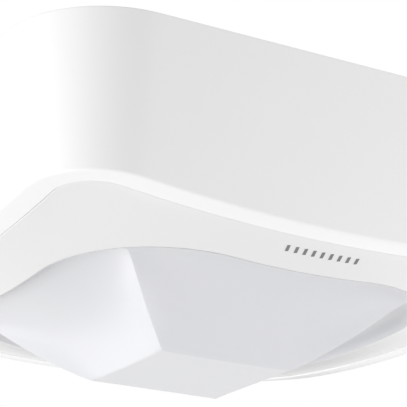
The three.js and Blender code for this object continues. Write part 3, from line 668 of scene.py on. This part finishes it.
# Each row is (result, operation, inputs), and an input is a number or the name of a result.
RIDGE_ROWS = [
    ("far_x", "ABSOLUTE", "rim_x"),
    ("far_y", "ABSOLUTE", "rim_y"),
    ("reach", "MAXIMUM", "far_x", "far_y"),
    ("aside", "MINIMUM", "far_x", "far_y"),
    ("sideways", "DIVIDE", "aside", "reach"),
    ("ridgeness", "POWER", "sideways", 2.0),
]
for result, operation, *terms in RIDGE_ROWS:
    known[result] = add_node(lens_tree, "ShaderNodeMath", {
        i: known.get(term, term) for i, term in enumerate(terms)}, operation=operation).outputs[0]
known["power"] = add_node(lens_tree, "ShaderNodeMix", {
    0: known["ridgeness"], 2: size["Scoop power"], 3: size["Ridge power"]}, data_type="FLOAT").outputs[0]

# %% Climb from the flat square to the rim, and draw in towards the square
CLIMB_ROWS = [
    ("climb", "POWER", "left", "power"),
    ("climbed", "SUBTRACT", 1.0, "climb"),
    ("depth", "SUBTRACT", "rim_z", "Flat height"),
    ("straight", "MULTIPLY", "climbed", "depth"),
    ("outward_part", "MAXIMUM", "along", 0.0),
    ("cubed", "POWER", "outward_part", 3.0),
    ("eighth", "POWER", "outward_part", 8.0),
    ("fade", "SUBTRACT", 1.0, "eighth"),
    ("curl", "MULTIPLY", "cubed", "fade"),
    ("rise", "MULTIPLY_ADD", "curl", "Bowl", "straight"),
    ("squared", "MULTIPLY", "rise", "rise"),
    ("rounding", "MULTIPLY_ADD", "Fillet", "Fillet", "squared"),
    ("rounded", "SQRT", "rounding"),
    ("fillet_left", "MULTIPLY", "Fillet", "left"),
    ("soft_rise", "SUBTRACT", "rounded", "fillet_left"),
    ("face_z", "ADD", "soft_rise", "Flat height"),
    ("wall_z", "ADD", "face_z", "wall"),
    ("inward_part", "MINIMUM", "along", 0.0),
    ("square", "DIVIDE", "Flat half", "reach"),
    ("share", "ADD", "left", "inward_part"),
    ("spread", "MULTIPLY_ADD", "square", "share", "outward_part"),
    ("plan_x", "MULTIPLY", "rim_x", "spread"),
    ("plan_y", "MULTIPLY", "rim_y", "spread"),
]
for result, operation, *terms in CLIMB_ROWS:
    known[result] = add_node(lens_tree, "ShaderNodeMath", {
        i: known.get(term, term) for i, term in enumerate(terms)}, operation=operation).outputs[0]
position = add_node(lens_tree, "ShaderNodeCombineXYZ", {
    i: known[name] for i, name in enumerate(("plan_x", "plan_y", "wall_z"))}).outputs[0]
moved = add_node(lens_tree, "GeometryNodeSetPosition", {
    "Geometry": size["Geometry"], "Position": position}).outputs[0]
close_tree(lens_tree, moved, MILKY_POLYETHYLENE)
print("lens rule nodes:", len(lens_tree.nodes))

# %% Loops of the lens
LENS_HALF, LENS_CORNER, LENS_RIM_Z = 39.95, 26.05, -33.75
LENS_WALL = 1.1
FLANGE_WIDTH, FLANGE_FRONT_Z, FLANGE_BACK_Z = 3.1, -28.3, -26.6

flange = [
    (LENS_HALF, LENS_CORNER, FLANGE_FRONT_Z),
    (LENS_HALF + FLANGE_WIDTH, LENS_CORNER + FLANGE_WIDTH, FLANGE_FRONT_Z),
    (LENS_HALF + FLANGE_WIDTH, LENS_CORNER + FLANGE_WIDTH, FLANGE_BACK_Z),
    (LENS_HALF - LENS_WALL, LENS_CORNER - LENS_WALL, FLANGE_BACK_Z),
]
outer_loop = (LENS_HALF, LENS_CORNER, LENS_RIM_Z, MOUTH_RISE)
inner_loop = (LENS_HALF - LENS_WALL, LENS_CORNER - LENS_WALL, LENS_RIM_Z, MOUTH_RISE)
climb_steps = np.linspace(0, 1, 72) ** 1.3
lens_loops = [(outer_loop, along_step, 0) for along_step in (-0.999, -0.6, -0.25, -0.06, *climb_steps)]
lens_loops += [(row, 1.0, 0) for row in flange]
lens_loops += [(inner_loop, along_step, LENS_WALL) for along_step in (*climb_steps[::-4], -0.3, -0.999)]

lens = loft("scooped_lens", [level(*row) for row, _, _ in lens_loops], tube=False)
count = len(rounded_square(1, 0.5))
for label, column, unit in (("along", 1, 1), ("wall", 2, MM)):
    attribute = lens.data.attributes.new(label, "FLOAT", "POINT")
    attribute.data.foreach_set("value", np.repeat([row[column] * unit for row in lens_loops], count))
bake(lens, lens_tree, LENS_SIZES, smooth_angle=25)
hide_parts("lens")
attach(lens, "base")

# %% [markdown]
# ## Screws
#
# Every screw is the same idea in another size: a pan head with a cross recess, a plain neck and a
# rolled thread. The blank is turned from a profile, as on a lathe. The tree cuts the recess with two
# blades, lays a spiral thread along the shank, and sets a copy on each place, turned by a random
# angle, because nobody lines up their screws.

# %% Profile of a pan head
def pan_head(radius, shank, length):
    """Profile of a pan head that hangs down from height 0, with its shank pointing up."""
    height = 0.62 * radius
    arc = [
        (radius * (0.55 + 0.45 * math.sin(a)), -height * (0.25 + 0.75 * math.cos(a)))
        for a in np.linspace(0.15, QUARTER, 7)
    ]
    return [(0.05, -height), *arc, (radius, 0), (shank, 0), (shank, length - 0.6), (0.3, length)]


print("pan head points:", len(pan_head(3, 1.2, 17)))


# %% Screw tree
def screw_tree(name, blank):
    tree, given = new_tree(
        name, "Head", "Shank", "Thread start", "Thread length", "Pitch", "Seed", "Tip over")
    blank_mesh = add_node(tree, "GeometryNodeObjectInfo", {"Object": blank}).outputs["Geometry"]
    slot = add_node(tree, "ShaderNodeMath", {0: given["Head"], 1: 0.24}, operation="MULTIPLY").outputs[0]
    reach = add_node(tree, "ShaderNodeMath", {0: given["Head"], 1: 1.15}, operation="MULTIPLY").outputs[0]
    deep = add_node(tree, "ShaderNodeMath", {0: given["Head"], 1: 0.8}, operation="MULTIPLY").outputs[0]
    low = add_node(tree, "ShaderNodeMath", {0: given["Head"], 1: -0.62}, operation="MULTIPLY").outputs[0]
    lowered = add_node(tree, "ShaderNodeCombineXYZ", {2: low}).outputs[0]
    blades = add_node(tree, "GeometryNodeJoinGeometry")
    for sides in ((reach, slot), (slot, reach)):
        shape = add_node(tree, "ShaderNodeCombineXYZ", {0: sides[0], 1: sides[1], 2: deep}).outputs[0]
        blade = add_node(tree, "GeometryNodeMeshCube", {"Size": shape}).outputs["Mesh"]
        placed = add_node(tree, "GeometryNodeTransform", {
            "Geometry": blade, "Translation": lowered}).outputs[0]
        tree.links.new(placed, blades.inputs[0])
    recessed = add_node(tree, "GeometryNodeMeshBoolean", {
        "Mesh 1": blank_mesh, "Mesh 2": blades.outputs[0]}, operation="DIFFERENCE", solver="EXACT").outputs[0]
    turns = add_node(tree, "ShaderNodeMath", {
        0: given["Thread length"], 1: given["Pitch"]}, operation="DIVIDE").outputs[0]
    helix = add_node(tree, "GeometryNodeCurveSpiral", {
        "Resolution": 16, "Rotations": turns, "Start Radius": given["Shank"],
        "End Radius": given["Shank"], "Height": given["Thread length"]}).outputs[0]
    crest = add_node(tree, "ShaderNodeMath", {0: given["Pitch"], 1: 0.32}, operation="MULTIPLY").outputs[0]
    wire = add_node(tree, "GeometryNodeCurvePrimitiveCircle", {"Resolution": 3, "Radius": crest}).outputs[0]
    thread = add_node(tree, "GeometryNodeCurveToMesh", {
        "Curve": helix, "Profile Curve": wire, "Fill Caps": True}).outputs[0]
    start = add_node(tree, "ShaderNodeCombineXYZ", {2: given["Thread start"]}).outputs[0]
    raised = add_node(tree, "GeometryNodeTransform", {"Geometry": thread, "Translation": start}).outputs[0]
    whole = add_node(tree, "GeometryNodeJoinGeometry")
    for part in (raised, recessed):
        tree.links.new(part, whole.inputs[0])
    angle = add_node(tree, "FunctionNodeRandomValue", {
        "Max": math.pi, "Seed": given["Seed"]}, data_type="FLOAT").outputs[1]
    tip = add_node(tree, "ShaderNodeCombineXYZ", {0: given["Tip over"], 2: angle}).outputs[0]
    turn = add_node(tree, "FunctionNodeEulerToRotation", {0: tip}).outputs[0]
    copies = add_node(tree, "GeometryNodeInstanceOnPoints", {
        "Points": given["Geometry"], "Instance": whole.outputs[0], "Rotation": turn}).outputs[0]
    return close_tree(tree, copies, ZINC_PLATED_STEEL)


# %% Four families of screws
CHASSIS_FRONT_Z, HEAD_GAP = -26.3, 0.3
RETAINER_X, RETAINER_HEAD_Z = 45.6, -29.2
SENSOR_SCREW_X, SENSOR_SCREW_Y, SENSOR_SCREW_Z = 40.5, 12.0, -19.9
POWER_PLACES, POWER_SCREW_Z = [(29, -31), (29, 26), (-29, -31), (-29, 26)], -7.9
THREAD_FROM, THREAD_SHORT, THREAD_PITCH = 1.2, 2.2, 0.5
SCREW_FAMILIES = {
    # name: (places, head height, head radius, shank radius, length, tipped over)
    "module_screw": (
        quarter_places(MODULE_SCREW_X, MODULE_SCREW_Y), CHASSIS_FRONT_Z - HEAD_GAP, 3.0, 1.2, 17.5, False),
    "retainer_screw": (quarter_places(RETAINER_X, 0.0), RETAINER_HEAD_Z, 1.9, 1.0, 5.0, False),
    "sensor_board_screw": (
        quarter_places(SENSOR_SCREW_X, SENSOR_SCREW_Y), SENSOR_SCREW_Z, 1.9, 0.9, 4.8, True),
    "power_board_screw": (POWER_PLACES, POWER_SCREW_Z, 2.2, 0.9, 5.0, False),
}
for seed, (family, row) in enumerate(SCREW_FAMILIES.items()):
    places, head_z, head, shank, length, tipped = row
    blank = lathe(f"{family}_blank", pan_head(head, shank, length))
    dress(blank, ZINC_PLATED_STEEL)
    screws = new_object(f"{family}_set", [Vector((x, y, head_z)) * MM for x, y in places], [])
    bake(screws, screw_tree(f"{family}_tree", blank), {
        "Head": head * MM, "Shank": shank * MM, "Thread start": THREAD_FROM * MM,
        "Thread length": (length - THREAD_SHORT) * MM, "Pitch": THREAD_PITCH * MM, "Seed": seed,
        "Tip over": math.pi if tipped else 0})
    bpy.data.objects.remove(blank)
    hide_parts(*(f"{family}_{i}" for i in range(1, len(places) + 1)))
    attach(screws, "base")

# %% [markdown]
# ## Dials
#
# Two ivory dials set the time and the light level. A dial has a slot for a screwdriver, a pointer at
# one end of it, and fine grip ribs round its edge. The ribs repeat, so a tree sets them round the
# disc. Each dial turns on its own, so each is baked and ridden by itself.

# %% Dial tree
DIAL_RADIUS, DIAL_FRONT_Z, DIAL_BACK_Z = 4.0, -27.6, -24.7
CONTROL_RADIUS = 54.2
RIBS, RIB_RADIUS, RIB_HEIGHT = 24, 0.22, 1.5
HUB_RADIUS, HUB_BACK_Z = 1.8, -22.4
DIAL_TURNS = {"time": -3 * QUARTER / 2, "light": -QUARTER / 2}  # the corner that each dial sits in


def to_corner(tree, geometry, given):
    """Moves geometry out from the axis and turns it round to its corner."""
    out = add_node(tree, "ShaderNodeCombineXYZ", {0: given["Out"]}).outputs[0]
    spin = add_node(tree, "ShaderNodeCombineXYZ", {2: given["Turn"]}).outputs[0]
    moved = add_node(tree, "GeometryNodeTransform", {"Geometry": geometry, "Translation": out}).outputs[0]
    return add_node(tree, "GeometryNodeTransform", {"Geometry": moved, "Rotation": spin}).outputs[0]


def dial_tree(name, blank):
    tree, given = new_tree(name, "Ribs", "Rib radius", "Rim radius", "Height", "Middle", "Turn", "Out")
    ring = add_node(tree, "GeometryNodeMeshCircle", {
        "Vertices": given["Ribs"], "Radius": given["Rim radius"]}).outputs[0]
    rib = add_node(tree, "GeometryNodeMeshCylinder", {
        "Vertices": 8, "Radius": given["Rib radius"], "Depth": given["Height"]}).outputs["Mesh"]
    ribs = add_node(tree, "GeometryNodeInstanceOnPoints", {"Points": ring, "Instance": rib}).outputs[0]
    middle = add_node(tree, "ShaderNodeCombineXYZ", {2: given["Middle"]}).outputs[0]
    raised = add_node(tree, "GeometryNodeTransform", {"Geometry": ribs, "Translation": middle}).outputs[0]
    disc = add_node(tree, "GeometryNodeObjectInfo", {"Object": blank}).outputs["Geometry"]
    whole = add_node(tree, "GeometryNodeJoinGeometry")
    for part in (raised, disc):
        tree.links.new(part, whole.inputs[0])
    return close_tree(tree, to_corner(tree, whole.outputs[0], given), IVORY_DIAL_ABS)


# %% Two dials
dial_profile = [
    (0.05, DIAL_FRONT_Z), (DIAL_RADIUS - 0.55, DIAL_FRONT_Z), (DIAL_RADIUS - 0.3, DIAL_FRONT_Z + 0.12),
    (DIAL_RADIUS - 0.15, DIAL_FRONT_Z + 0.4), (DIAL_RADIUS, DIAL_BACK_Z - 0.3),
    (DIAL_RADIUS - 0.1, DIAL_BACK_Z), (HUB_RADIUS, DIAL_BACK_Z), (HUB_RADIUS, HUB_BACK_Z), (0.05, HUB_BACK_Z),
]
SLOT_LENGTH, SLOT_WIDTH, SLOT_DEPTH = 6.4, 1.1, 1.1
dial_blank = dress(lathe("dial_blank", dial_profile, segments=48), IVORY_DIAL_ABS)
cut(dial_blank, [
    loft("slot_tool", [
        rounded_block(0, 0, SLOT_LENGTH, SLOT_WIDTH, z) for z in (DIAL_FRONT_Z - 1, DIAL_FRONT_Z + SLOT_DEPTH)
    ], tube=False),
    loft("pointer_tool", [
        rounded_block(-2.4, 0, 1.4, 2.2, z) for z in (DIAL_FRONT_Z - 1, DIAL_FRONT_Z + 0.5)
    ], tube=False),
])
for setting, turn in DIAL_TURNS.items():
    dial_name = f"{setting}_dial"
    dial = new_object(f"{dial_name}_knob", [(0, 0, 0)], [])
    bake(dial, dial_tree(f"{dial_name}_tree", dial_blank), {
        "Ribs": RIBS, "Rib radius": RIB_RADIUS * MM, "Rim radius": (DIAL_RADIUS - 0.12) * MM,
        "Height": RIB_HEIGHT * MM,
        "Middle": (DIAL_BACK_Z - 1.25) * MM, "Turn": turn, "Out": CONTROL_RADIUS * MM})
    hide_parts(dial_name)
    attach(dial, f"{dial_name}_body")
bpy.data.objects.remove(dial_blank)

# %% [markdown]
# ## Scale ticks
#
# Small raised ticks on the chassis show how far each dial turns. They repeat round an arc of three
# quarters of a turn, so a tree lays them out on the points of an arc.

# %% Ticks round each dial
TICKS = 11
TICK_SWEEP, TICK_START = math.radians(270), math.radians(45)
TICK_RADIUS, TICK_LENGTH, TICK_WIDTH, TICK_HEIGHT = 5.35, 0.9, 0.3, 0.1


def tick_tree(name):
    tree, given = new_tree(name, "Ticks", "Radius", "Length", "Width", "Height", "Face", "Turn", "Out")
    dots = add_node(tree, "GeometryNodePoints", {"Count": given["Ticks"]}).outputs[0]
    index = add_node(tree, "GeometryNodeInputIndex").outputs[0]
    gaps = add_node(tree, "ShaderNodeMath", {0: given["Ticks"], 1: 1.0}, operation="SUBTRACT").outputs[0]
    share = add_node(tree, "ShaderNodeMath", {0: index, 1: gaps}, operation="DIVIDE").outputs[0]
    sweep = add_node(tree, "ShaderNodeMath", {
        0: share, 1: TICK_SWEEP, 2: TICK_START}, operation="MULTIPLY_ADD").outputs[0]
    spin = add_node(tree, "ShaderNodeCombineXYZ", {2: sweep}).outputs[0]
    turn = add_node(tree, "FunctionNodeEulerToRotation", {0: spin}).outputs[0]
    shape = add_node(tree, "ShaderNodeCombineXYZ", {
        0: given["Length"], 1: given["Width"], 2: given["Height"]}).outputs[0]
    bar = add_node(tree, "GeometryNodeMeshCube", {"Size": shape}).outputs["Mesh"]
    away = add_node(tree, "ShaderNodeCombineXYZ", {0: given["Radius"], 2: given["Face"]}).outputs[0]
    shifted = add_node(tree, "GeometryNodeTransform", {"Geometry": bar, "Translation": away}).outputs[0]
    ticks = add_node(tree, "GeometryNodeInstanceOnPoints", {
        "Points": dots, "Instance": shifted, "Rotation": turn}).outputs[0]
    return close_tree(tree, to_corner(tree, ticks, given), MATT_INNER_ABS)


for dial_name, turn in DIAL_TURNS.items():
    ticks = new_object(f"{dial_name}_scale_ticks", [(0, 0, 0)], [])
    bake(ticks, tick_tree(f"{dial_name}_tick_tree"), {
        "Ticks": TICKS, "Radius": TICK_RADIUS * MM, "Length": TICK_LENGTH * MM, "Width": TICK_WIDTH * MM,
        "Height": TICK_HEIGHT * MM, "Face": (CHASSIS_FRONT_Z - TICK_HEIGHT / 2 + 0.01) * MM,
        "Turn": turn + 2 * QUARTER, "Out": -CONTROL_RADIUS * MM})
    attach(ticks, "base")

# %% [markdown]
# ## A plain printed row on the cover
#
# A sensor like this has a small grey print on one side of its cover ring. Here it is a plain row of
# short slanted dashes, which says nothing. The dashes repeat, so a tree sets them on a line, leans
# them, and drops them onto the curve of the cover.

# %% Grey print ink
# Pad-printed ink is a thin matt film, a little uneven where it was pressed on.
GREY_PAD_INK = moulded("grey_pad_print_ink", "#7c7e81", "#707275", 0.55, grain_mm=0.3, relief=0.05)
DASHES = 9
DASH_PITCH, DASH_LENGTH, DASH_WIDTH, DASH_FILM = 1.85, 2.2, 0.6, 0.05
DASH_Y, DASH_LEAN, DASH_SINK = -46.9, -0.35, 0.02
SAG_AT = 8  # where along the row the bow of the cover is measured


def cover_height(x, y):
    """Height of the cover's face in millimetres, on the side that faces -Y."""
    t = (COVER_HALF + y) / (COVER_HALF - MOUTH_HALF)
    half, _, z, rise = dome(t)
    return z + rise * (x ** 2 + y ** 2 - half ** 2)


def dash_tree(name):
    tree, given = new_tree(name, "Pitch", "Length", "Width", "Film", "Lean", "Line", "Height", "Slope", "Sag")
    line = add_node(tree, "GeometryNodeMeshLine", {
        "Count": DASHES, "Start Location": (-(DASHES - 1) / 2 * DASH_PITCH * MM, 0, 0),
        "Offset": add_node(tree, "ShaderNodeCombineXYZ", {0: given["Pitch"]}).outputs[0]}).outputs[0]
    shape = add_node(tree, "ShaderNodeCombineXYZ", {
        0: given["Width"], 1: given["Length"], 2: given["Film"]}).outputs[0]
    bar = add_node(tree, "GeometryNodeMeshCube", {"Size": shape, "Vertices Y": 5}).outputs["Mesh"]
    lean = add_node(tree, "ShaderNodeCombineXYZ", {2: given["Lean"]}).outputs[0]
    turn = add_node(tree, "FunctionNodeEulerToRotation", {0: lean}).outputs[0]
    row = add_node(tree, "GeometryNodeInstanceOnPoints", {
        "Points": line, "Instance": bar, "Rotation": turn}).outputs[0]
    real = add_node(tree, "GeometryNodeRealizeInstances", {0: row}).outputs[0]
    flat = add_node(tree, "ShaderNodeSeparateXYZ", {
        0: add_node(tree, "GeometryNodeInputPosition").outputs[0]}).outputs
    bowed = add_node(tree, "ShaderNodeMath", {0: flat[0], 1: flat[0]}, operation="MULTIPLY").outputs[0]
    sag = add_node(tree, "ShaderNodeMath", {
        0: bowed, 1: given["Sag"], 2: given["Height"]}, operation="MULTIPLY_ADD").outputs[0]
    drop = add_node(tree, "ShaderNodeMath", {
        0: flat[1], 1: given["Slope"], 2: sag}, operation="MULTIPLY_ADD").outputs[0]
    shift = add_node(tree, "ShaderNodeCombineXYZ", {1: given["Line"], 2: drop}).outputs[0]
    laid = add_node(tree, "GeometryNodeSetPosition", {"Geometry": real, "Offset": shift}).outputs[0]
    return close_tree(tree, laid, GREY_PAD_INK)


middle_z = cover_height(0, DASH_Y)
print_row = new_object("cover_print_row", [(0, 0, 0)], [])
bake(print_row, dash_tree("slanted_dashes"), {
    "Pitch": DASH_PITCH * MM, "Length": DASH_LENGTH * MM, "Width": DASH_WIDTH * MM, "Film": DASH_FILM * MM,
    "Lean": DASH_LEAN, "Line": DASH_Y * MM, "Height": (middle_z - DASH_SINK) * MM,
    "Slope": cover_height(0, DASH_Y + 0.5) - cover_height(0, DASH_Y - 0.5),
    "Sag": (cover_height(SAG_AT, DASH_Y) - middle_z) / SAG_AT ** 2 / MM})
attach(print_row, "cover")

# %% [markdown]
# ## Stage and light
#
# The background is white, so the room itself is the main light. Two left keys model the rounded
# corner and the left scoop, a wide glow beyond the sensor is mirrored in the rim, a small glow fills
# the far side of the left scoop, and a weak front fill opens the shade on the right. Softboxes are
# given by how bright they look from the sensor, so moving one does not change its strength.

# %% Floor and room
FLOOR_Z, FLOOR_HALF = -1.0, 20.0
floor = new_object("floor", [
    (sx * FLOOR_HALF, sy * FLOOR_HALF, FLOOR_Z) for sx, sy in ((-1, -1), (1, -1), (1, 1), (-1, 1))
], [(0, 1, 2, 3)])
# Matt studio floor paper, pale grey, with the soft cloudiness of rolled paper.
floor.data.materials.append(moulded("pale_studio_paper", "#e1e1e1", "#dbdbdb", 0.7, grain_mm=4))

ROOM_STRENGTH = 0.68
room = bpy.data.worlds.new("white_studio")
room.use_nodes = True
room.node_tree.nodes.clear()
seen = add_node(room.node_tree, "ShaderNodeLightPath").outputs["Is Camera Ray"]
strength = add_node(room.node_tree, "ShaderNodeMapRange", {
    "Value": seen, "To Min": ROOM_STRENGTH, "To Max": 1.0}).outputs[0]
paper = add_node(room.node_tree, "ShaderNodeBackground", {"Color": (1, 1, 1, 1), "Strength": strength})
add_node(room.node_tree, "ShaderNodeOutputWorld", {"Surface": paper.outputs[0]})
scene.world = room
scene.view_settings.view_transform = "Standard"
scene.view_settings.look = "None"
print("room light", ROOM_STRENGTH)


# %% Softboxes
def softbox(name, direction, distance, size, radiance):
    """A rectangular area light that faces the sensor, given its brightness as seen from there."""
    direction = Vector(direction).normalized()
    data = bpy.data.lights.new(name, "AREA")
    data.shape = "RECTANGLE"
    data.size, data.size_y = size
    data.energy = radiance * math.pi * size[0] * size[1]
    light = bpy.data.objects.new(name, data)
    light.location = AIM + direction * distance
    light.rotation_euler = (-direction).to_track_quat("-Z", "Y").to_euler()
    light.visible_camera = False
    scene.collection.objects.link(light)
    print(name, "watts", round(data.energy, 2))


softbox("left_key", (-0.90, 0.15, -0.33), 0.9, (0.25, 0.25), 10.5)
softbox("low_left_key", (-0.84, -0.06, -0.54), 0.9, (0.25, 0.25), 15.5)
softbox("backdrop_glow", (0.45, 0.83, -0.28), 1.5, (2.4, 0.7), 0.64)
softbox("scoop_glow", (-0.31, 0.82, -0.46), 0.9, (0.3, 0.3), 1.5)
softbox("front_fill", (0.85, -0.45, -0.25), 0.5, (0.3, 0.3), 5.7)

# %% [markdown]
# ## A dark flag for the far edge
#
# A photographer hangs a strip of black felt beyond a white object, so that its far edge mirrors
# something dark and stands out from the white room. The strip is a stage piece and the camera does
# not see it.

# %% Black flag
FLAG_FROM, FLAG_WIDTH, FLAG_HEIGHT = 0.8, 1.3, 0.22
beyond = Vector((look.x, look.y, 0.05)).normalized()
across = beyond.cross(Vector((0, 0, 1))).normalized()
middle = AIM + beyond * FLAG_FROM
flag = new_object("dark_flag", [
    middle + across * sx * FLAG_WIDTH / 2 + Vector((0, 0, sz * FLAG_HEIGHT / 2))
    for sx, sz in ((-1, -1), (1, -1), (1, 1), (-1, 1))
], [(0, 1, 2, 3)])
# Felt gives back almost nothing, and its short hairs leave no gloss.
flag.data.materials.append(moulded("black_flag_felt", "#141414", "#0c0c0c", 0.95, grain_mm=2, relief=0.4))
flag.visible_camera = False
